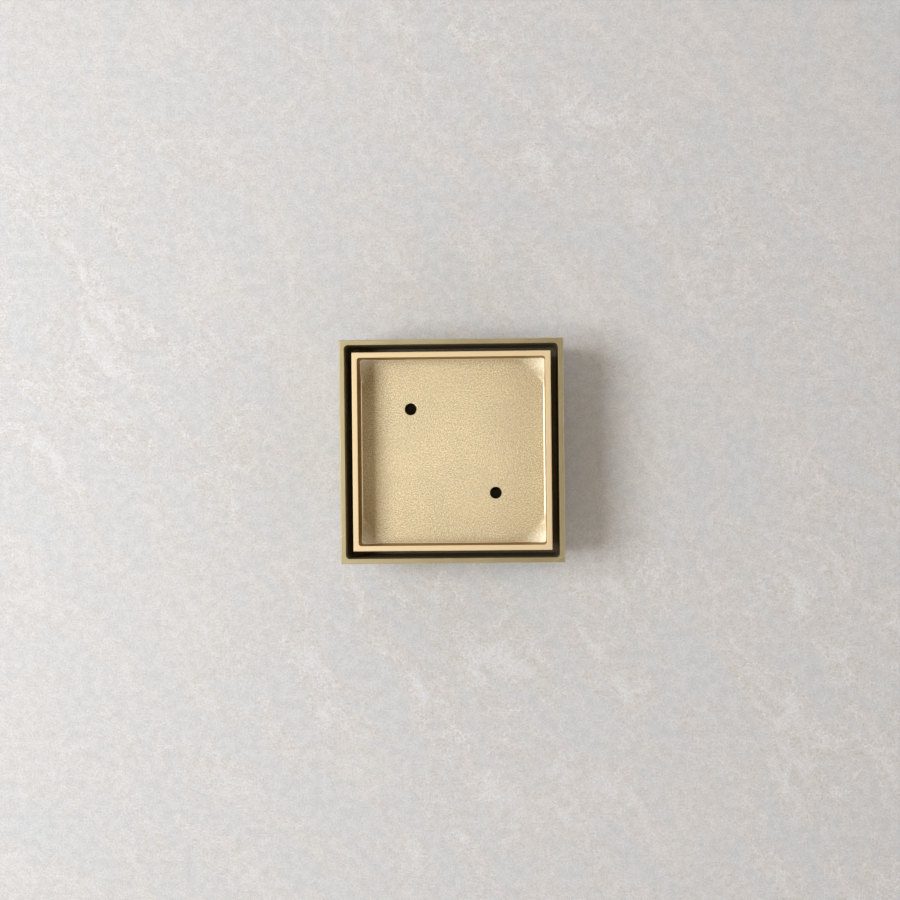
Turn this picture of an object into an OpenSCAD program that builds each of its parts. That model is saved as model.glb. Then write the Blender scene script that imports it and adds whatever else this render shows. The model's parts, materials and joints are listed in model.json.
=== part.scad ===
// Square tile-insert floor drain: brass body, lift-out tile tray, hair strainer, spring-closed odour trap.
// Millimetres. Origin at the centre of the tailpiece's lower end, +Z up to the rim.

/* [Frame] */
// outside width of the square frame
frame_w = 110; // [108:1:118]
// thickness of the frame's walls
frame_t = 2.5; // [2:0.1:3.2]
// radius of the frame's inner corners
frame_corner_r = 2; // [1.5:0.25:4]
// height of the rim above the tailpiece's lower end
rim_z = 36; // [36:1:44]

/* [Tray] */
// outside width of the tile tray
tray_w = 97.6; // [94:0.2:99]
// thickness of the tray's walls
tray_t = 2.6; // [2:0.1:3]
// depth of the tile pocket
pocket_depth = 12; // [10:0.5:12.5]
// thickness of the tray's floor
tray_floor_t = 2; // [1.5:0.25:2.5]
// radius of the pocket's corners
pocket_corner_r = 1.4; // [1:0.1:2.5]
// radius of the circle inside which the pocket's floor is flat
flat_floor_r = 55; // [54:0.5:59]
// diameter of the two lifting holes
lift_hole_d = 6; // [4:0.5:8]
// distance between the two lifting holes
lift_hole_span = 60; // [50:1:66]
// distance of each foot from the tray's centre lines
foot_xy = 39; // [38:0.5:41]

/* [Outlet] */
// outside diameter of the tailpiece
tail_d = 76; // [75:0.5:77]
// inside diameter of the tailpiece
tail_bore_d = 69; // [68.6:0.2:70]
// diameter of the hole in the body's floor
throat_d = 80; // [79.8:0.2:80.4]

/* [Strainer] */
// diameter of the strainer's holes
strain_hole_d = 3; // [2:0.25:3.5]
// reach of the pull ring from its hinge
ring_reach = 14; // [12:0.5:16]

/* [Trap] */
// radius of the valve stem
stem_r = 1.5; // [1.3:0.1:1.5]
// turns of the return spring
spring_turns = 3.25; // [2.5:0.25:4]

/* [Hidden] */
$fn = 96;
eps = 0.01;
// how far a cutter runs past the face that it opens
cut = 1;
// chamfer on the frame's and the tray's top edges
edge_c = 0.3;

// heights in the body
base_z = 11.5;
floor_z = 14;
floor_rise = 1;
seat_z = 15.6;
seat_rim_z = 16.6;
screw_boss_z = 17;
screw_tip_z = 15.5;

// body
inner_w = frame_w - 2 * frame_t;
inner_far_r = inner_w * sqrt(0.5) + cut;
throat_r = throat_d / 2;
seat_boss_r = 6.5;
seat_socket_r = 4.8;
screw_ring_r = 44;
screw_boss_r = 4.3;
screw_r = 1.5;

// tray
tray_z = rim_z - pocket_depth - tray_floor_t;
pocket_z = rim_z - pocket_depth;
pocket_w = tray_w - 2 * tray_t;
cove_r = 1;
// how far a hollow curve dips under the floor that it runs into
cove_bite = 0.03;
cove_in = cove_r - cove_bite;
sweep_r = 24;
sweep_h = 3;
foot_r = 4;
pad_r = 4.4;
pad_t = 2;
peg_r = 1.5;
peg_h = 2.4;

// tailpiece
tail_r = tail_d / 2;
tail_bore_r = tail_bore_d / 2;
tail_flange_r = 48.5;
tail_flange_z = 8.5;
gasket_t = 0.8;
gasket_inset = 0.3;
tail_flange_top = base_z - gasket_t;
collar_play = 0.1;
collar_r = throat_r - collar_play;
collar_top = floor_z - 2 * collar_play;
ledge_z = 9;
ledge_bore_r = 37.4;
tail_chamfer = 0.8;
ring_wire_r = 1;
ring_z = 6.9;
groove_h = 2.1;
groove_d = 1.5;
screw_head_r = 2.9;
screw_head_h = 1.7;
recess_w = 0.9;
recess_l = 3.4;
recess_h = 1;

// trap housing
trap_flange_r = 36.9;
trap_flange_z = 10;
trap_top = 12;
skirt_r = 34;
skirt_in_r = 31.5;
valve_seat_z = 4;
valve_seat_t = 2;
valve_port_r = 26;
cup_r = 6;
cup_in_r = 4.9;
cup_z = 5.8;
cup_floor_z = 7.3;
cup_top = 13.2;
guide_r = 2.4;
guide_top = 8.6;
guide_play = 0.05;
spoke_w = 2;
spoke_top = 9.5;

// seal under the trap's flange, with a skirt down its counterbore
seal_play = 0.2;
seal_squeeze = 0.1;
seal_lap = 1.5;

// valve
disc_r = 29.8;
disc_z = 1;
disc_t = 2;
disc_wall_r = 24.3;
disc_wall_top = 3.8;
disc_dish_r = 22;
disc_dish_z = 2.2;
hub_r = 5;
hub_top = 4.2;
relief_wall = 4;
relief_d = 0.5;
stem_head_r = 3.4;
stem_head_h = 1;
stem_top = 14.2;
nut_af = 5.5;
nut_h = 1.4;
cap_z = 12.3;
cap_r = 4;
cap_t = 0.8;
clip_t = 0.5;
clip_r = 2.6;
clip_in_r = 1.1;
clip_mouth = 1.76;
spring_wire_r = 0.28;
spring_r1 = 4.2;
spring_r2 = 3.1;
spring_sides = 10;
spring_steps = 28;

// strainer
strainer_t = 1;
sheet_t = 0.8;
hat_r = 33;
hat_rim_r = 36.6;
plate_z = 14.8;
plate_top = plate_z + strainer_t;
hole_rings = [2 : 5];
hole_ring_r0 = 3;
hole_pitch = 5;
side_slot_w = 3;
side_slot_h = 1.4;
side_slots = 24;
saddle_w = 8;
saddle_l = 8;
pivot_z = 16.85;
wire_r = 0.8;
wire_play = 0.06;
barrel_r = 1.75;
barrel_bed = 5;
rivet_x = 5.2;
rivet_r = 1.1;
rivet_head_r = 1.9;
rivet_head_h = 0.7;
rivet_head_taper = 0.6;
rivet_tail_r = 1.5;
ring_half = 7;
bend_r = 1.8;

brass = [0.79, 0.66, 0.42];
steel = [0.72, 0.73, 0.74];
rubber = [0.1, 0.1, 0.1];
silicone = [0.85, 0.86, 0.84];
plastic = [0.2, 0.21, 0.23];

// ---- shared shapes ----

module rounded_square(w, r) {
    square([w - 2 * r, w], center = true);
    square([w, w - 2 * r], center = true);
    for (x = [-1, 1], y = [-1, 1]) translate([x * (w / 2 - r), y * (w / 2 - r)]) circle(r);
}

// square block between two heights with its top edges chamfered
module edged_block(w, z1, z2, c) {
    intersection() {
        edged_bar(w, z1, z2, c);
        rotate([0, 0, 90]) edged_bar(w, z1, z2, c);
    }
}

// bar along Y with that section
module edged_bar(w, z1, z2, c) {
    h = w / 2;
    rotate([90, 0, 0]) linear_extrude(w + 2 * cut, center = true)
        polygon([[-h, z1], [h, z1], [h, z2 - c], [h - c, z2], [c - h, z2], [-h, z2 - c]]);
}

module four_feet() {
    for (x = [-1, 1], y = [-1, 1]) translate([x * foot_xy, y * foot_xy, 0]) children();
}

module four_screws() {
    for (a = [0, 90, 180, 270]) rotate([0, 0, a]) translate([screw_ring_r, 0, 0]) children();
}

// round part between two heights
module disc(r, z1, z2) {
    translate([0, 0, z1]) cylinder(h = z2 - z1, r = r);
}

module ring(r_in, r_out, z1, z2) {
    difference() {
        disc(r_out, z1, z2);
        disc(r_in, z1 - cut, z2 + cut);
    }
}

// ---- body and outlet ----

module frame_body() color(brass) difference() {
    union() {
        difference() {
            edged_block(frame_w, base_z, rim_z, edge_c);
            body_hollow();
        }
        four_feet() disc(seat_boss_r, base_z + cut, seat_rim_z);
        four_screws() disc(screw_boss_r, base_z + cut, screw_boss_z);
    }
    disc(throat_r, base_z - cut, rim_z);
    four_feet() disc(seat_socket_r, seat_z, seat_rim_z + cut);
    four_screws() disc(screw_r, base_z - cut, screw_tip_z);
}

// the space inside the walls, over a floor that falls to the outlet
module body_hollow() {
    intersection() {
        translate([0, 0, floor_z - cut])
            linear_extrude(rim_z - floor_z + 2 * cut) rounded_square(inner_w, frame_corner_r);
        rotate_extrude() polygon([
            [0, floor_z], [throat_r, floor_z], [inner_far_r, floor_z + floor_rise],
            [inner_far_r, rim_z + cut], [0, rim_z + cut]
        ]);
    }
}

module outlet_tailpiece() color(brass) difference() {
    rotate_extrude() polygon([
        [tail_bore_r, 0], [tail_r - tail_chamfer, 0], [tail_r, tail_chamfer], [tail_r, tail_flange_z],
        [tail_flange_r, tail_flange_z], [tail_flange_r, tail_flange_top], [collar_r, tail_flange_top],
        [collar_r, collar_top], [ledge_bore_r, collar_top], [ledge_bore_r, ledge_z], [tail_bore_r, ledge_z]
    ]);
    ring(tail_r - groove_d, tail_r + cut, ring_z - groove_h / 2, ring_z + groove_h / 2);
    four_screws() {
        disc(screw_r, tail_flange_z - cut, tail_flange_top + cut);
        translate([0, 0, tail_flange_z]) cylinder(h = screw_head_h, r1 = screw_head_r, r2 = screw_r);
    }
}

module tailpiece_gasket() color(rubber) difference() {
    ring(throat_r + gasket_inset, tail_flange_r - gasket_inset, tail_flange_top, base_z);
    four_screws() disc(screw_r, 0, rim_z);
}

module tailpiece_screws() color(steel) four_screws() difference() {
    union() {
        translate([0, 0, tail_flange_z]) cylinder(h = screw_head_h, r1 = screw_head_r, r2 = screw_r);
        disc(screw_r, tail_flange_z + cut, screw_tip_z);
    }
    translate([0, 0, tail_flange_z]) {
        cube([recess_l, recess_w, 2 * recess_h], center = true);
        cube([recess_w, recess_l, 2 * recess_h], center = true);
    }
}

module pipe_seal_ring() color(rubber) translate([0, 0, ring_z])
    rotate_extrude() translate([tail_r - groove_d + ring_wire_r, 0]) circle(ring_wire_r);

// ---- tray ----

module tile_tray() color(brass) difference() {
    edged_block(tray_w, tray_z, rim_z, edge_c);
    difference() {
        intersection() {
            translate([0, 0, pocket_z])
                linear_extrude(pocket_depth + cut) rounded_square(pocket_w, pocket_corner_r);
            coved_bar();
            rotate([0, 0, 90]) coved_bar();
        }
        corner_sweep();
    }
    for (s = [-1, 1]) translate([-s, s, 0] * lift_hole_span / 2 * sqrt(0.5))
        disc(lift_hole_d / 2, tray_z - cut, rim_z);
}

// bar along Y that leaves a hollow curve along the foot of two pocket walls
module coved_bar() {
    h = pocket_w / 2 - cove_in;
    rotate([90, 0, 0]) linear_extrude(pocket_w + 2 * cut, center = true) {
        translate([-h, pocket_z - cut]) square([2 * h, pocket_depth + 3 * cut]);
        translate([-pocket_w / 2 - cut, pocket_z + cove_in]) square([pocket_w + 2 * cut, pocket_depth + cut]);
        for (x = [-h, h]) translate([x, pocket_z + cove_in]) circle(cove_r);
    }
}

// outside the flat circle the pocket's floor sweeps up into its four corners
module corner_sweep() translate([0, 0, pocket_z]) rotate_extrude() difference() {
    translate([flat_floor_r, -cut]) square([sweep_r / 2, cut + sweep_h]);
    translate([flat_floor_r, sweep_r - cove_bite]) circle(sweep_r);
}

module tray_feet() color(brass) four_feet() difference() {
    disc(foot_r, seat_z + pad_t, tray_z);
    disc(peg_r, seat_z, seat_z + pad_t + peg_h);
}

module foot_pads() color(rubber) four_feet() {
    disc(pad_r, seat_z, seat_z + pad_t);
    disc(peg_r, seat_z + pad_t - cut, seat_z + pad_t + peg_h);
}

// ---- strainer ----

module hair_strainer() color(plastic) difference() {
    union() {
        ring(hat_r - strainer_t, hat_rim_r, trap_top, trap_top + strainer_t);
        ring(hat_r - strainer_t, hat_r, trap_top, plate_top);
        translate([0, 0, plate_z]) linear_extrude(strainer_t) strainer_plate();
    }
    for (i = [0 : side_slots / 2 - 1]) rotate([0, 0, (i + 0.5) * 360 / side_slots])
        translate([-hat_r - cut, -side_slot_w / 2, trap_top + strainer_t])
            cube([2 * (hat_r + cut), side_slot_w, side_slot_h]);
}

// flat top with rings of holes, each ring with six holes more than the one inside it
module strainer_plate() difference() {
    circle(hat_r - eps);
    for (k = hole_rings) for (i = [1 : 6 * k]) rotate((i + k / 2) * 60 / k)
        translate([hole_ring_r0 + hole_pitch * k, 0]) circle(strain_hole_d / 2);
    for (x = [-1, 1]) translate([x * rivet_x, 0]) circle(rivet_r);
}

module ring_bracket() color(steel) difference() {
    union() {
        translate([-saddle_l, -saddle_w / 2, plate_top]) cube([2 * saddle_l, saddle_w, sheet_t]);
        intersection() {
            translate([0, 0, pivot_z]) rotate([90, 0, 0])
                cylinder(h = saddle_w, r = barrel_r, center = true);
            translate([-barrel_bed, -barrel_bed, plate_top]) cube(2 * barrel_bed);
        }
    }
    translate([0, 0, pivot_z]) rotate([90, 0, 0])
        cylinder(h = saddle_w + 2 * cut, r = wire_r + wire_play, center = true);
    for (x = [-1, 1]) translate([x * rivet_x, 0, 0]) disc(rivet_r, plate_z, rim_z);
}

module bracket_rivets() color(steel) for (x = [-1, 1]) translate([x * rivet_x, 0, 0]) {
    head_z = plate_top + sheet_t;
    disc(rivet_r, plate_z - rivet_head_h / 2, head_z + rivet_head_h / 2);
    translate([0, 0, head_z])
        cylinder(h = rivet_head_h, r1 = rivet_head_r, r2 = rivet_head_r * rivet_head_taper);
    disc(rivet_tail_r, plate_z - rivet_head_h, plate_z);
}

// D-shaped wire ring lying flat, its straight bar in the bracket's barrel
module pull_ring() color(steel) translate([0, 0, pivot_z]) {
    arm = ring_reach - ring_half;
    bar = 2 * (ring_half - bend_r);
    rotate([90, 0, 0]) cylinder(h = bar, r = wire_r, center = true);
    for (s = [-1, 1]) {
        translate([bend_r, s * ring_half, 0]) rotate([0, 90, 0]) cylinder(h = arm - bend_r, r = wire_r);
        translate([bend_r, s * (ring_half - bend_r), 0]) rotate([0, 0, s > 0 ? 90 : 180])
            rotate_extrude(angle = 90) translate([bend_r, 0]) circle(wire_r);
    }
    translate([arm, 0, 0]) rotate([0, 0, -90])
        rotate_extrude(angle = 180) translate([ring_half, 0]) circle(wire_r);
}

// ---- odour trap ----

module trap_housing() color(plastic) difference() {
    union() {
        ring(skirt_in_r, trap_flange_r, trap_flange_z, trap_top);
        ring(skirt_in_r, skirt_r, valve_seat_z, trap_top);
        ring(valve_port_r, skirt_r - eps, valve_seat_z, valve_seat_z + valve_seat_t);
        disc(cup_r, cup_z, cup_top);
        for (a = [0, 90]) rotate([0, 0, a]) translate([-skirt_in_r - cut, -spoke_w / 2, cup_z])
            cube([2 * (skirt_in_r + cut), spoke_w, spoke_top - cup_z]);
    }
    ring(guide_r, cup_in_r, cup_floor_z, cup_top + cut);
    disc(guide_r + eps, guide_top, cup_top + cut);
    disc(stem_r + guide_play, 0, rim_z);
}

module trap_seal_ring() color(silicone) rotate_extrude() polygon([
    [tail_bore_r + seal_play, ledge_z], [ledge_bore_r - seal_play, ledge_z],
    [ledge_bore_r - seal_squeeze / 2, trap_flange_z + seal_lap],
    [trap_flange_r + seal_squeeze, trap_flange_z + seal_lap], [trap_flange_r + seal_squeeze, trap_flange_z],
    [tail_bore_r + seal_play, trap_flange_z]
]);

// conical wire spring as a closed tube along a rising spiral
module return_spring() color(steel) {
    n = spring_sides;
    steps = ceil(spring_turns * spring_steps);
    z1 = cup_floor_z + spring_wire_r;
    z2 = cap_z - spring_wire_r;
    points = [
        for (i = [0 : steps])
            let (t = i / steps, a = 360 * spring_turns * t, r = spring_r1 + (spring_r2 - spring_r1) * t)
            for (j = [0 : n - 1])
                let (b = 360 * j / n, q = r + spring_wire_r * cos(b))
                [q * cos(a), q * sin(a), z1 + (z2 - z1) * t + spring_wire_r * sin(b)]
    ];
    skin = [
        for (i = [0 : steps - 1]) for (j = [0 : n - 1])
            let (k = (j + 1) % n, low = i * n, high = low + n)
            each [[low + j, high + j, low + k], [low + k, high + j, high + k]]
    ];
    first_end = [for (j = [0 : n - 1]) j];
    last_end = [for (j = [n - 1 : -1 : 0]) steps * n + j];
    polyhedron(points, concat(skin, [first_end, last_end]));
}

// ---- valve ----

module valve_stem() color(steel) difference() {
    union() {
        disc(stem_head_r, disc_z, disc_z + stem_head_h);
        disc(stem_r, disc_z, stem_top);
    }
    ring(clip_in_r, stem_r + cut, cap_z + cap_t, cap_z + cap_t + clip_t);
}

module valve_disc() color(plastic) difference() {
    union() {
        disc(disc_r, disc_z, disc_z + disc_t);
        ring(disc_dish_r, disc_wall_r, disc_dish_z, disc_wall_top);
        disc(hub_r, disc_z, hub_top);
    }
    ring(hub_r, disc_dish_r, disc_dish_z, hub_top + cut);
    disc(stem_r, 0, rim_z);
    disc(stem_head_r, disc_z - cut, disc_z + stem_head_h);
    ring(hub_r + relief_wall, disc_dish_r - relief_wall, disc_z - cut, disc_z + relief_d);
}

module valve_gasket() color(silicone)
    ring(disc_wall_r, disc_r - gasket_inset, disc_z + disc_t, valve_seat_z);

module valve_nut() color(steel) translate([0, 0, hub_top]) difference() {
    cylinder(h = nut_h, d = nut_af / cos(30), $fn = 6);
    translate([0, 0, -cut]) cylinder(h = nut_h + 2 * cut, r = stem_r);
}

module spring_cap() color(plastic) ring(stem_r, cap_r, cap_z, cap_z + cap_t);

module stem_clip() color(steel) difference() {
    ring(clip_in_r, clip_r, cap_z + cap_t, cap_z + cap_t + clip_t);
    translate([0, -clip_mouth / 2, cap_z]) cube([clip_r + cut, clip_mouth, cap_t + clip_t + cut]);
}

frame_body();
outlet_tailpiece();
tailpiece_gasket();
tailpiece_screws();
pipe_seal_ring();
tile_tray();
tray_feet();
foot_pads();
hair_strainer();
ring_bracket();
bracket_rivets();
pull_ring();
trap_housing();
trap_seal_ring();
return_spring();
valve_stem();
valve_disc();
valve_gasket();
valve_nut();
spring_cap();
stem_clip();
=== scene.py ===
import json
import math

import bmesh
import bpy
from mathutils import Matrix, Vector


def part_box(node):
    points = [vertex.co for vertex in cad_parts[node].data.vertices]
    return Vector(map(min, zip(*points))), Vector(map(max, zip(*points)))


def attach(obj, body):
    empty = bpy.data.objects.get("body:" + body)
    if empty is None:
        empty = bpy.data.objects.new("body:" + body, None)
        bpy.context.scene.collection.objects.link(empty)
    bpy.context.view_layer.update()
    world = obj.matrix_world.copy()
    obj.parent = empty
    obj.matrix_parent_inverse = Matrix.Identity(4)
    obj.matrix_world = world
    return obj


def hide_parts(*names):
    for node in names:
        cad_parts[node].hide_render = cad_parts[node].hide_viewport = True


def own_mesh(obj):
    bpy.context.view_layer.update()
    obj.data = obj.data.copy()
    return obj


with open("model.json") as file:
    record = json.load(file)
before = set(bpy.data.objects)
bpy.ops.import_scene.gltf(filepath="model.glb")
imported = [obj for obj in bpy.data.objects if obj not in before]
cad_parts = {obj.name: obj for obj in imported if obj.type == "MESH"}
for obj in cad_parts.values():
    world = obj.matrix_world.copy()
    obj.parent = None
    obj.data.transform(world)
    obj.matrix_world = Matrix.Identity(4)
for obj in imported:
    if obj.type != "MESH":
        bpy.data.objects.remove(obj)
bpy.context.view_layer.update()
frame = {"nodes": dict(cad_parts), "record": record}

# Square brass tile-insert floor drain on a pale stone slab. Metres, +Z up, in the CAD frame.

MM = 0.001
NODES = frame["nodes"]
RECORD = frame["record"]
BODY_LOW, BODY_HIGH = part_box("frame_body")
BASE_Z = BODY_LOW.z
RIM_Z = BODY_HIGH.z
POCKET_Z = next(m["pos_m"][2] for m in RECORD["mounts"] if m["name"] == "tile_seat")
FRAME_HALF = BODY_HIGH.x
TRAY_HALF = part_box("tile_tray")[1].x
FRAME_WALL = 2.5 * MM
TRAY_WALL = 2.6 * MM
# radius of the hollow curves along the feet of the pocket's walls
COVE = 1.0 * MM
# outside this radius the pocket's floor visibly sweeps up into its corners
FLAT_FLOOR = 56.2 * MM
# noise scale of the brushed lines
BRUSH = 3500


# ---- node graphs ----


class Look:
    """A procedural material: the calls below add nodes and give back the socket that they end in."""

    def __init__(self, name, **shader):
        self.material = bpy.data.materials.new(name)
        self.material.use_nodes = True
        self.tree = self.material.node_tree
        self.shader = self.tree.nodes["Principled BSDF"]
        coordinates = self.put("TexCoord")
        self.place = coordinates.outputs["Object"]
        self.x, self.y, self.z = self.split(self.place)
        self.nx, self.ny, self.nz = self.split(coordinates.outputs["Normal"])
        for key, value in shader.items():
            self.set(key.replace("_", " "), value)

    def put(self, kind, sockets=None, **settings):
        node = self.tree.nodes.new("ShaderNode" + kind)
        for key, value in settings.items():
            setattr(node, key, value)
        for key, value in (sockets or {}).items():
            self.feed(node.inputs[key], value)
        return node

    def feed(self, socket, value):
        if isinstance(value, bpy.types.NodeSocket):
            self.tree.links.new(value, socket)
        elif hasattr(value, "__len__") and len(value) == 3 and len(socket.default_value) == 4:
            socket.default_value = (*value, 1)
        else:
            socket.default_value = value

    def set(self, name, value):
        self.feed(self.shader.inputs[name], value)

    def split(self, vector):
        parts = self.put("SeparateXYZ", {0: vector}).outputs
        return parts[0], parts[1], parts[2]

    def math(self, operation, a, b=0.0):
        return self.put("Math", {0: a, 1: b}, operation=operation).outputs[0]

    def vector_math(self, operation, *values, result=0):
        return self.put("VectorMath", dict(enumerate(values)), operation=operation).outputs[result]

    def both(self, *shares):
        """The product of all the shares."""
        share = shares[0]
        for other in shares[1:]:
            share = self.math("MULTIPLY", share, other)
        return share

    def step(self, value, low, high, out_low=0.0, out_high=1.0):
        """value mapped from low..high to out_low..out_high, with soft ends."""
        sockets = {"Value": value, "From Min": low, "From Max": high, "To Min": out_low, "To Max": out_high}
        return self.put("MapRange", sockets, interpolation_type="SMOOTHSTEP").outputs["Result"]

    def across(self):
        """How far a place is from the middle, counted along the nearer of the square's two axes."""
        return self.math("MAXIMUM", self.math("ABSOLUTE", self.x), self.math("ABSOLUTE", self.y))

    def radius(self):
        x_squared = self.math("MULTIPLY", self.x, self.x)
        y_squared = self.math("MULTIPLY", self.y, self.y)
        return self.math("SQRT", self.math("ADD", x_squared, y_squared))

    def stretched(self, sx, sy, sz):
        """The place in the object with each axis scaled, for grain that runs one way."""
        return self.vector_math("MULTIPLY", self.place, (sx, sy, sz))

    def noise(self, scale, detail=2.0, roughness=0.5, vector=None):
        sockets = {"Vector": vector or self.place, "Scale": scale, "Detail": detail, "Roughness": roughness}
        return self.put("TexNoise", sockets).outputs["Fac"]

    def cells(self, scale):
        sockets = {"Vector": self.place, "Scale": scale}
        return self.put("TexVoronoi", sockets, feature="F1").outputs["Distance"]

    def mix(self, share, a, b):
        return self.put("Mix", {0: share, 6: a, 7: b}, data_type="RGBA").outputs[2]

    def blend(self, share, a, b):
        return self.put("Mix", {0: share, 2: a, 3: b}, data_type="FLOAT").outputs[0]

    def shade(self, colour, amount):
        """colour made lighter or darker by the factor amount."""
        return self.put("VectorMath", {0: colour, 3: amount}, operation="SCALE").outputs[0]

    def edges(self, radius):
        """1 on convex and concave edges, 0 on open faces."""
        soft = self.put("Bevel", {"Radius": radius}, samples=4).outputs[0]
        true = self.put("NewGeometry").outputs["Normal"]
        same = self.vector_math("DOT_PRODUCT", soft, true, result="Value")
        return self.step(same, 0.995, 0.85)

    def worn(self, tone, radius, share, bare):
        """tone with its edges rubbed towards the colour bare by share."""
        return self.mix(self.math("MULTIPLY", self.edges(radius), share), tone, bare)

    def bump(self, height, depth, strength=1.0):
        sockets = {"Height": height, "Distance": depth, "Strength": strength}
        self.set("Normal", self.put("Bump", sockets).outputs[0])

    def side_grain(self, scale, run=0.025):
        """Fine lines that run along each side of the square, and so mitre at its corners."""
        on_x_side = self.math("GREATER_THAN", self.math("ABSOLUTE", self.x), self.math("ABSOLUTE", self.y))
        along_y = self.noise(scale, 3, 0.6, self.stretched(1, run, 1))
        along_x = self.noise(scale, 3, 0.6, self.stretched(run, 1, 1))
        return self.blend(on_x_side, along_x, along_y)

    def ring_grain(self, scale):
        """Fine lines round the outlet's axis, as a lathe leaves them."""
        lathe = self.put("CombineXYZ", {0: self.radius(), 1: 0.0, 2: self.z}).outputs[0]
        return self.noise(scale, 2, 0.6, lathe)

    def scratches(self, scale, turn):
        """Thin stray hairlines at the angle turn."""
        along = Vector((math.cos(turn), math.sin(turn), 0)) * 0.04
        side = Vector((-math.sin(turn), math.cos(turn), 0))
        u = self.vector_math("DOT_PRODUCT", self.place, along, result="Value")
        v = self.vector_math("DOT_PRODUCT", self.place, side, result="Value")
        line = self.noise(scale, 1, 0.5, self.put("CombineXYZ", {0: u, 1: v, 2: self.z}).outputs[0])
        return self.step(line, 0.70, 0.76)


# ---- materials ----


def body_brass():
    look = Look("body_brass", Metallic=1.0)
    grain = look.side_grain(BRUSH)
    smudge = look.noise(55, 3, 0.6)
    brushed = look.mix(smudge, (0.49, 0.415, 0.25), (0.54, 0.46, 0.28))
    brushed = look.shade(brushed, look.step(grain, 0.25, 0.75, 0.92, 1.06))
    hairline = look.both(look.scratches(900, 0.5), look.step(look.nz, 0.5, 0.9), 0.25)
    brushed = look.mix(hairline, brushed, (0.75, 0.67, 0.48))
    brushed = look.worn(brushed, 0.35 * MM, 0.35, (0.8, 0.7, 0.48))
    # inside the walls, from 2 to 8 mm below the rim downwards, and at the very bottom the brass is rough as
    # cast; its dark tone there is painted shade, and greyer patches are water stains
    shaded_cast = look.mix(look.noise(900, 3), (0.2, 0.175, 0.125), (0.34, 0.295, 0.21))
    damp = look.step(look.noise(130, 4, 0.65), 0.52, 0.7, 0, 0.6)
    shaded_cast = look.mix(damp, shaded_cast, (0.3, 0.27, 0.21))
    inside = look.both(
        look.step(look.across(), FRAME_HALF - FRAME_WALL * 0.7, FRAME_HALF - FRAME_WALL * 0.8),
        look.step(look.z, RIM_Z - 2.0 * MM, RIM_Z - 8.0 * MM),
    )
    below = look.step(look.z, BASE_Z + 0.6 * MM, BASE_Z + 0.2 * MM)
    shaded_cast_zone = look.math("MAXIMUM", inside, below)
    look.set("Base Color", look.mix(shaded_cast_zone, brushed, shaded_cast))
    shine = look.step(grain, 0.2, 0.8, 0.49, 0.58)
    shine = look.math("ADD", shine, look.step(smudge, 0.35, 0.7, -0.02, 0.03))
    look.set("Roughness", look.blend(shaded_cast_zone, shine, 0.6))
    look.bump(look.blend(shaded_cast_zone, grain, look.noise(1300, 3)), 0.02 * MM, 0.6)
    return look.material


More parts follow.
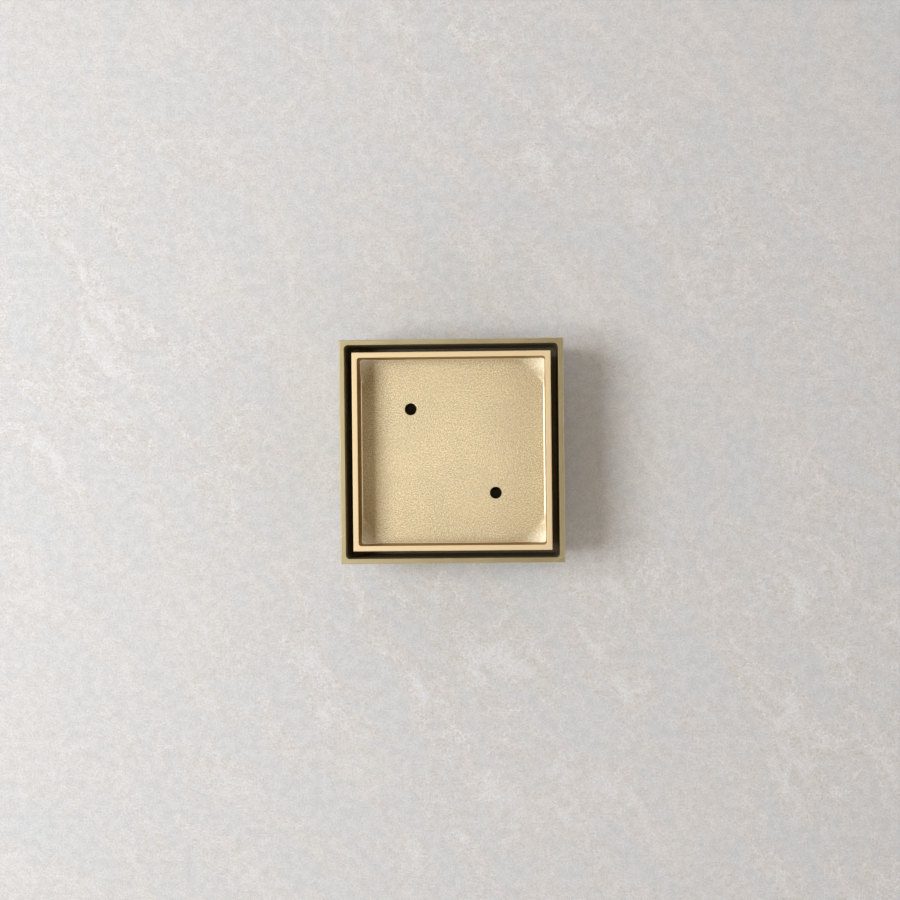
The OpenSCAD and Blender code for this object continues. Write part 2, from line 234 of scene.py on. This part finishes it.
def tray_brass():
    look = Look("tray_brass", Metallic=1.0)
    grain = look.side_grain(BRUSH)
    sand = look.noise(2000, 2, 0.8)
    grit = look.noise(1200, 2, 0.6)
    fleck = look.cells(1500)
    patch = look.noise(40, 3)
    in_pocket = look.both(
        look.step(look.across(), TRAY_HALF - TRAY_WALL * 0.85, TRAY_HALF - TRAY_WALL * 0.95),
        look.step(look.z, RIM_Z - 0.25 * MM, RIM_Z - 0.5 * MM),
        look.step(look.z, POCKET_Z - 0.6 * MM, POCKET_Z - 0.2 * MM),
    )
    level = look.step(look.z, POCKET_Z + COVE * 0.02, POCKET_Z + COVE * 0.002)
    swept = look.step(look.radius(), FLAT_FLOOR - 0.6 * MM, FLAT_FLOOR - 0.2 * MM)
    corner = look.step(look.radius(), FLAT_FLOOR - 2.5 * MM, FLAT_FLOOR + 8 * MM)
    floor = look.both(in_pocket, look.math("MAXIMUM", level, swept), look.step(look.nz, 0.8, 0.88))
    wall = look.both(in_pocket, look.step(look.nz, 0.35, 0.1))
    # the rim and the outer walls: brushed, then lightly blasted
    rim = look.mix(patch, (0.86, 0.715, 0.48), (0.885, 0.745, 0.515))
    rim = look.shade(rim, look.step(grain, 0.25, 0.75, 0.95, 1.03))
    rim = look.worn(rim, 0.3 * MM, 0.4, (1.0, 0.9, 0.68))
    # the pocket's walls: painted shade, a dark brass tone that stands in for the dim reflections they show
    shaded_wall = look.mix(patch, (0.3, 0.21, 0.095), (0.34, 0.24, 0.11))
    shaded_wall = look.shade(shaded_wall, look.step(grain, 0.25, 0.75, 0.92, 1.06))
    # the curves along their feet: smooth
    smooth = look.mix(patch, (0.88, 0.76, 0.55), (0.92, 0.8, 0.6))
    # the floor: sandblasted, and smoother in its corners, where its tone is also lighter as a painted
    # highlight
    blasted = look.mix(look.step(sand, 0.38, 0.62), (0.68, 0.55, 0.315), (0.98, 0.885, 0.7))
    blasted = look.shade(blasted, look.step(grit, 0.3, 0.7, 0.9, 1.08))
    blasted = look.mix(look.step(fleck, 0.14, 0.03, 0, 0.5), blasted, (1.0, 0.95, 0.8))
    blasted = look.shade(blasted, look.step(patch, 0.3, 0.7, 0.97, 1.03))
    # lighter towards the corners: painted highlight
    blasted = look.mix(look.math("MULTIPLY", corner, 0.6), blasted, (0.97, 0.9, 0.75))
    pocket = look.mix(floor, look.mix(wall, smooth, shaded_wall), blasted)
    look.set("Base Color", look.mix(in_pocket, rim, pocket))
    # the walls' reflections are tinted dark brown, more painted shade
    look.set("Specular Tint", look.mix(wall, (1, 1, 1), (0.66, 0.53, 0.33)))
    pocket_shine = look.blend(floor, look.blend(wall, 0.36, 0.3), look.step(sand, 0.3, 0.7, 0.76, 0.66))
    corner_shine = look.math("MULTIPLY", look.both(floor, corner), 0.12)
    pocket_shine = look.math("SUBTRACT", pocket_shine, corner_shine)
    rim_shine = look.step(grain, 0.2, 0.8, 0.7, 0.8)
    look.set("Roughness", look.blend(in_pocket, rim_shine, pocket_shine))
    plain = look.math("SUBTRACT", in_pocket, floor)
    marks = look.blend(floor, look.math("MULTIPLY", grain, 0.4), sand)
    look.bump(look.blend(plain, marks, 0.5), 0.05 * MM, 0.8)
    return look.material


def turned_brass():
    look = Look("turned_brass", Metallic=1.0)
    lathe = look.ring_grain(4200)
    patch = look.noise(70, 3)
    tone = look.mix(patch, (0.74, 0.56, 0.28), (0.85, 0.68, 0.38))
    tone = look.shade(tone, look.step(lathe, 0.25, 0.75, 0.86, 1.06))
    look.set("Base Color", look.worn(tone, 0.3 * MM, 0.4, (0.95, 0.84, 0.58)))
    shine = look.step(lathe, 0.2, 0.8, 0.24, 0.36)
    look.set("Roughness", look.math("ADD", shine, look.step(patch, 0.4, 0.7, 0, 0.08)))
    look.bump(lathe, 0.03 * MM, 0.7)
    return look.material


def stainless():
    look = Look("stainless", Metallic=1.0)
    lathe = look.ring_grain(3800)
    haze = look.noise(120, 4, 0.6)
    tone = look.mix(haze, (0.56, 0.56, 0.55), (0.67, 0.67, 0.66))
    tone = look.shade(tone, look.step(lathe, 0.25, 0.75, 0.9, 1.05))
    look.set("Base Color", look.worn(tone, 0.2 * MM, 0.5, (0.85, 0.85, 0.84)))
    shine = look.step(lathe, 0.2, 0.8, 0.2, 0.32)
    look.set("Roughness", look.math("ADD", shine, look.step(haze, 0.4, 0.7, 0, 0.1)))
    look.bump(lathe, 0.02 * MM, 0.5)
    return look.material


def black_rubber():
    look = Look("black_rubber", Metallic=0.0)
    dust = look.noise(260, 5, 0.65)
    dusty = look.step(dust, 0.45, 0.75)
    look.set("Base Color", look.mix(dusty, (0.018, 0.018, 0.019), (0.05, 0.048, 0.045)))
    look.set("Roughness", look.step(dust, 0.3, 0.7, 0.55, 0.8))
    look.bump(look.noise(4200, 2), 0.04 * MM, 0.6)
    return look.material


def silicone():
    look = Look("silicone", Metallic=0.0, Subsurface_Weight=0.35, Subsurface_Scale=2 * MM)
    haze = look.noise(180, 3)
    look.set("Base Color", look.mix(haze, (0.66, 0.68, 0.65), (0.78, 0.79, 0.76)))
    look.set("Roughness", look.step(haze, 0.3, 0.7, 0.3, 0.45))
    look.bump(look.noise(2600, 2), 0.02 * MM, 0.5)
    return look.material


def grey_plastic():
    look = Look("grey_plastic", Metallic=0.0)
    spark = look.noise(3600, 3, 0.7)
    patch = look.noise(90, 3)
    tone = look.mix(patch, (0.05, 0.053, 0.058), (0.075, 0.078, 0.083))
    tone = look.shade(tone, look.step(spark, 0.3, 0.7, 0.88, 1.12))
    look.set("Base Color", look.worn(tone, 0.25 * MM, 0.4, (0.16, 0.165, 0.17)))
    look.set("Roughness", look.step(spark, 0.3, 0.7, 0.5, 0.36))
    look.bump(spark, 0.03 * MM, 0.6)
    return look.material


def pale_stone():
    look = Look("pale_stone", Metallic=0.0)
    # the slab's marks are bent a little, and the broad ones are drawn out along one diagonal
    drift = look.put("TexNoise", {"Vector": look.place, "Scale": 9.0, "Detail": 3.0}).outputs["Color"]
    bent = look.vector_math("MULTIPLY_ADD", drift, (0.06, 0.06, 0), look.place)
    turned = look.put("VectorRotate", {"Vector": bent, "Angle": 0.9}, rotation_type="Z_AXIS")
    bands = look.vector_math("MULTIPLY", turned.outputs[0], (0.45, 1.4, 1))
    warmth = look.noise(34, 6, 0.66, bands)
    crust = look.noise(34, 7, 0.68, bands)
    gathered = look.step(look.noise(5.5, 2, 0.5, bent), 0.4, 0.62, 0.35, 1)
    vein = look.math("ABSOLUTE", look.math("SUBTRACT", look.noise(48, 6, 0.64, bent), 0.5))
    mottle = look.noise(190, 5, 0.7)
    fleck = look.noise(480, 3, 0.8)
    grit = look.noise(1050, 3, 0.85)
    tone = look.mix(look.step(warmth, 0.4, 0.6), (0.625, 0.627, 0.655), (0.652, 0.634, 0.637))
    tone = look.shade(tone, look.step(mottle, 0.36, 0.64, 0.95, 1.05))
    tan = look.both(look.step(fleck, 0.5, 0.64), look.step(warmth, 0.42, 0.56), gathered, 0.7)
    tone = look.mix(tan, tone, (0.55, 0.49, 0.44))
    thread = look.both(look.step(vein, 0.016, 0.0), look.step(crust, 0.42, 0.55), gathered, 0.7)
    tone = look.mix(thread, tone, (0.78, 0.79, 0.84))
    wisp = look.both(look.step(crust, 0.55, 0.64), look.step(fleck, 0.4, 0.58), gathered, 0.8)
    tone = look.mix(wisp, tone, (0.74, 0.755, 0.81))
    pits = look.step(look.cells(150), 0.075, 0.03, 0, 0.3)
    tone = look.mix(pits, tone, (0.42, 0.4, 0.37))
    look.set("Base Color", look.shade(tone, look.step(grit, 0.32, 0.68, 0.88, 1.11)))
    look.set("Roughness", look.step(grit, 0.3, 0.7, 0.75, 0.85))
    look.bump(grit, 0.12 * MM, 0.35)
    return look.material


LOOKS = {
    make.__name__: make()
    for make in (body_brass, tray_brass, turned_brass, stainless, black_rubber, silicone, grey_plastic)
}


# ---- pieces ----

SLOTS = {s["node"]: s["material_slot"] for s in RECORD["subparts"]}
# radius of the rounding on each piece's edges, in millimetres
EDGE_MM = {
    "frame_body": 0.15, "tile_tray": 0.15, "outlet_tailpiece": 0.15, "tray_feet": 0.2, "foot_pads": 0.3,
    "trap_housing": 0.2, "valve_disc": 0.2, "tailpiece_gasket": 0.12, "trap_seal_ring": 0.06,
    "hair_strainer": 0.1, "ring_bracket": 0.08, "bracket_rivets": 0.12, "valve_gasket": 0.12,
    "valve_nut": 0.1, "valve_stem": 0.1, "spring_cap": 0.12, "stem_clip": 0.06, "tailpiece_screws": 0.06,
}
# edges sharper than SHARP are rounded, faces that differ by less than FLAT are merged,
# and corners closer than WELD are one
SHARP = math.radians(32)
FLAT = math.radians(0.4)
WELD = 0.002 * MM


def stand_for(node, mesh):
    """Puts mesh in the scene as the piece that stands for a CAD node, on that node's body."""
    piece = bpy.data.objects.new(node + "_piece", mesh)
    bpy.context.scene.collection.objects.link(piece)
    mesh.materials.append(LOOKS[SLOTS[node]])
    bodies = RECORD["behaviour"]["bodies"]
    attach(piece, next(name for name in bodies if node in bodies[name]))
    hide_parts(node)
    return piece


def rounded_piece(node, width):
    """A copy of a CAD node with its flat faces merged and its sharp edges rounded."""
    mesh = bpy.data.meshes.new(node + "_piece")
    work = bmesh.new()
    work.from_mesh(NODES[node].data)
    bmesh.ops.remove_doubles(work, verts=work.verts, dist=WELD)
    bmesh.ops.dissolve_limit(
        work, angle_limit=FLAT, use_dissolve_boundaries=False, verts=work.verts, edges=work.edges,
    )
    sharp = [e for e in work.edges if len(e.link_faces) == 2 and e.calc_face_angle() > SHARP]
    bmesh.ops.bevel(
        work, geom=sharp, offset=width, offset_type="OFFSET", segments=2, profile=0.5,
        affect="EDGES", clamp_overlap=True, loop_slide=True,
    )
    for face in work.faces:
        face.smooth = True
    work.to_mesh(mesh)
    work.free()
    piece = stand_for(node, mesh)
    even = piece.modifiers.new("even", "WEIGHTED_NORMAL")
    even.keep_sharp = True
    even.weight = 80


def keep_node(node):
    """Shows the CAD node itself in its material."""
    data = NODES[node].data
    data.materials.clear()
    data.materials.append(LOOKS[SLOTS[node]])


def return_spring():
    """Conical wire spring with closed end coils."""
    low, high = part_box("return_spring")
    wire = 0.28 * MM
    turns = 4.0
    steps = 40
    sides = 12
    # the share of the coil that closes at each end
    closed = 0.18
    wide = high.x - wire
    narrow = wide * 0.74
    count = int(turns * steps) + 1
    points = []
    for i in range(count):
        share = i / (count - 1)
        turn = 2 * math.pi * turns * share
        rise = min(max((share - closed) / (1 - 2 * closed), 0), 1)
        lift = 0.5 * share + 0.5 * rise * rise * (3 - 2 * rise)
        height = low.z + wire + (high.z - low.z - 2 * wire) * lift
        ring = wide + (narrow - wide) * share
        for j in range(sides):
            bend = 2 * math.pi * j / sides
            out = ring + wire * math.cos(bend)
            points.append((out * math.cos(turn), out * math.sin(turn), height + wire * math.sin(bend)))
    faces = [tuple(range(sides)), tuple(range((count - 1) * sides, count * sides))[::-1]]
    for i in range(count - 1):
        for j in range(sides):
            k = (j + 1) % sides
            faces.append((i * sides + j, i * sides + k, (i + 1) * sides + k, (i + 1) * sides + j)[::-1])
    mesh = bpy.data.meshes.new("return_spring_piece")
    mesh.from_pydata(points, [], faces)
    mesh.shade_smooth()
    piece = stand_for("return_spring", mesh)
    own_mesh(piece)


for name in NODES:
    if name in EDGE_MM:
        rounded_piece(name, EDGE_MM[name] * MM)
    elif name == "return_spring":
        return_spring()
    else:
        keep_node(name)


# ---- stage, light and camera ----


def slab():
    half = 1.2
    corners = [(-half, -half, 0), (half, -half, 0), (half, half, 0), (-half, half, 0)]
    mesh = bpy.data.meshes.new("slab")
    mesh.from_pydata(corners, [], [(0, 1, 2, 3)])
    mesh.materials.append(pale_stone())
    floor = bpy.data.objects.new("slab", mesh)
    bpy.context.scene.collection.objects.link(floor)


def softbox():
    """A soft light on the -X side that faces the drain."""
    distance = 1.32
    height = math.radians(49)
    turn = math.radians(-1)
    flat = distance * math.cos(height)
    place = Vector((-flat * math.cos(turn), -flat * math.sin(turn), distance * math.sin(height)))
    data = bpy.data.lights.new("key", "AREA")
    data.shape = "RECTANGLE"
    data.size = 0.75
    data.size_y = 0.6
    data.energy = 13.0
    data.color = (0.95, 0.985, 1.0)
    light = bpy.data.objects.new("key", data)
    light.location = place
    light.rotation_mode = "QUATERNION"
    light.rotation_quaternion = (-place).to_track_quat("-Z", "Y")
    bpy.context.scene.collection.objects.link(light)


def sky():
    """A bright ring round the horizon under a dimmer and warmer ceiling."""
    horizon = Vector((1.0, 1.02, 1.05)) * 1.3
    ceiling = Vector((1.0, 0.74, 0.36)) * 0.25
    world = bpy.data.worlds.new("studio")
    world.use_nodes = True
    nodes = world.node_tree.nodes
    links = world.node_tree.links
    direction = nodes.new("ShaderNodeTexCoord")
    parts = nodes.new("ShaderNodeSeparateXYZ")
    rise = nodes.new("ShaderNodeMapRange")
    rise.interpolation_type = "SMOOTHSTEP"
    rise.inputs["From Min"].default_value = math.sin(math.radians(15))
    rise.inputs["From Max"].default_value = math.sin(math.radians(50))
    light = nodes.new("ShaderNodeMix")
    light.data_type = "RGBA"
    light.inputs[6].default_value = (*horizon, 1)
    light.inputs[7].default_value = (*ceiling, 1)
    links.new(direction.outputs["Generated"], parts.inputs[0])
    links.new(parts.outputs[2], rise.inputs["Value"])
    links.new(rise.outputs["Result"], light.inputs[0])
    links.new(light.outputs[2], nodes["Background"].inputs["Color"])
    bpy.context.scene.world = world


def camera():
    """Nearly straight down from a little to the right, with the lens shifted back over the drain."""
    far = 440 * MM
    aim = Vector((-0.85 * MM, 0.35 * MM, RIM_Z))
    offset = Vector((27 * MM, 1.5 * MM, far))
    lean = 8 * MM
    roll = math.radians(0.59)
    back = Vector((lean, offset.y, far)).normalized()
    right = Vector((math.cos(roll), -math.sin(roll), 0))
    right = (right - back * right.dot(back)).normalized()
    up = back.cross(right)
    data = bpy.data.cameras.new("camera")
    data.lens = 36
    data.sensor_width = 36
    data.shift_x = -(offset.x - lean) / far
    data.clip_start = 0.01
    eye = bpy.data.objects.new("camera", data)
    turn = Matrix((right, up, back)).transposed().to_4x4()
    eye.matrix_world = Matrix.Translation(aim + offset) @ turn
    bpy.context.scene.collection.objects.link(eye)
    bpy.context.scene.camera = eye


slab()
softbox()
sky()
camera()
bpy.context.scene.view_settings.view_transform = "Standard"
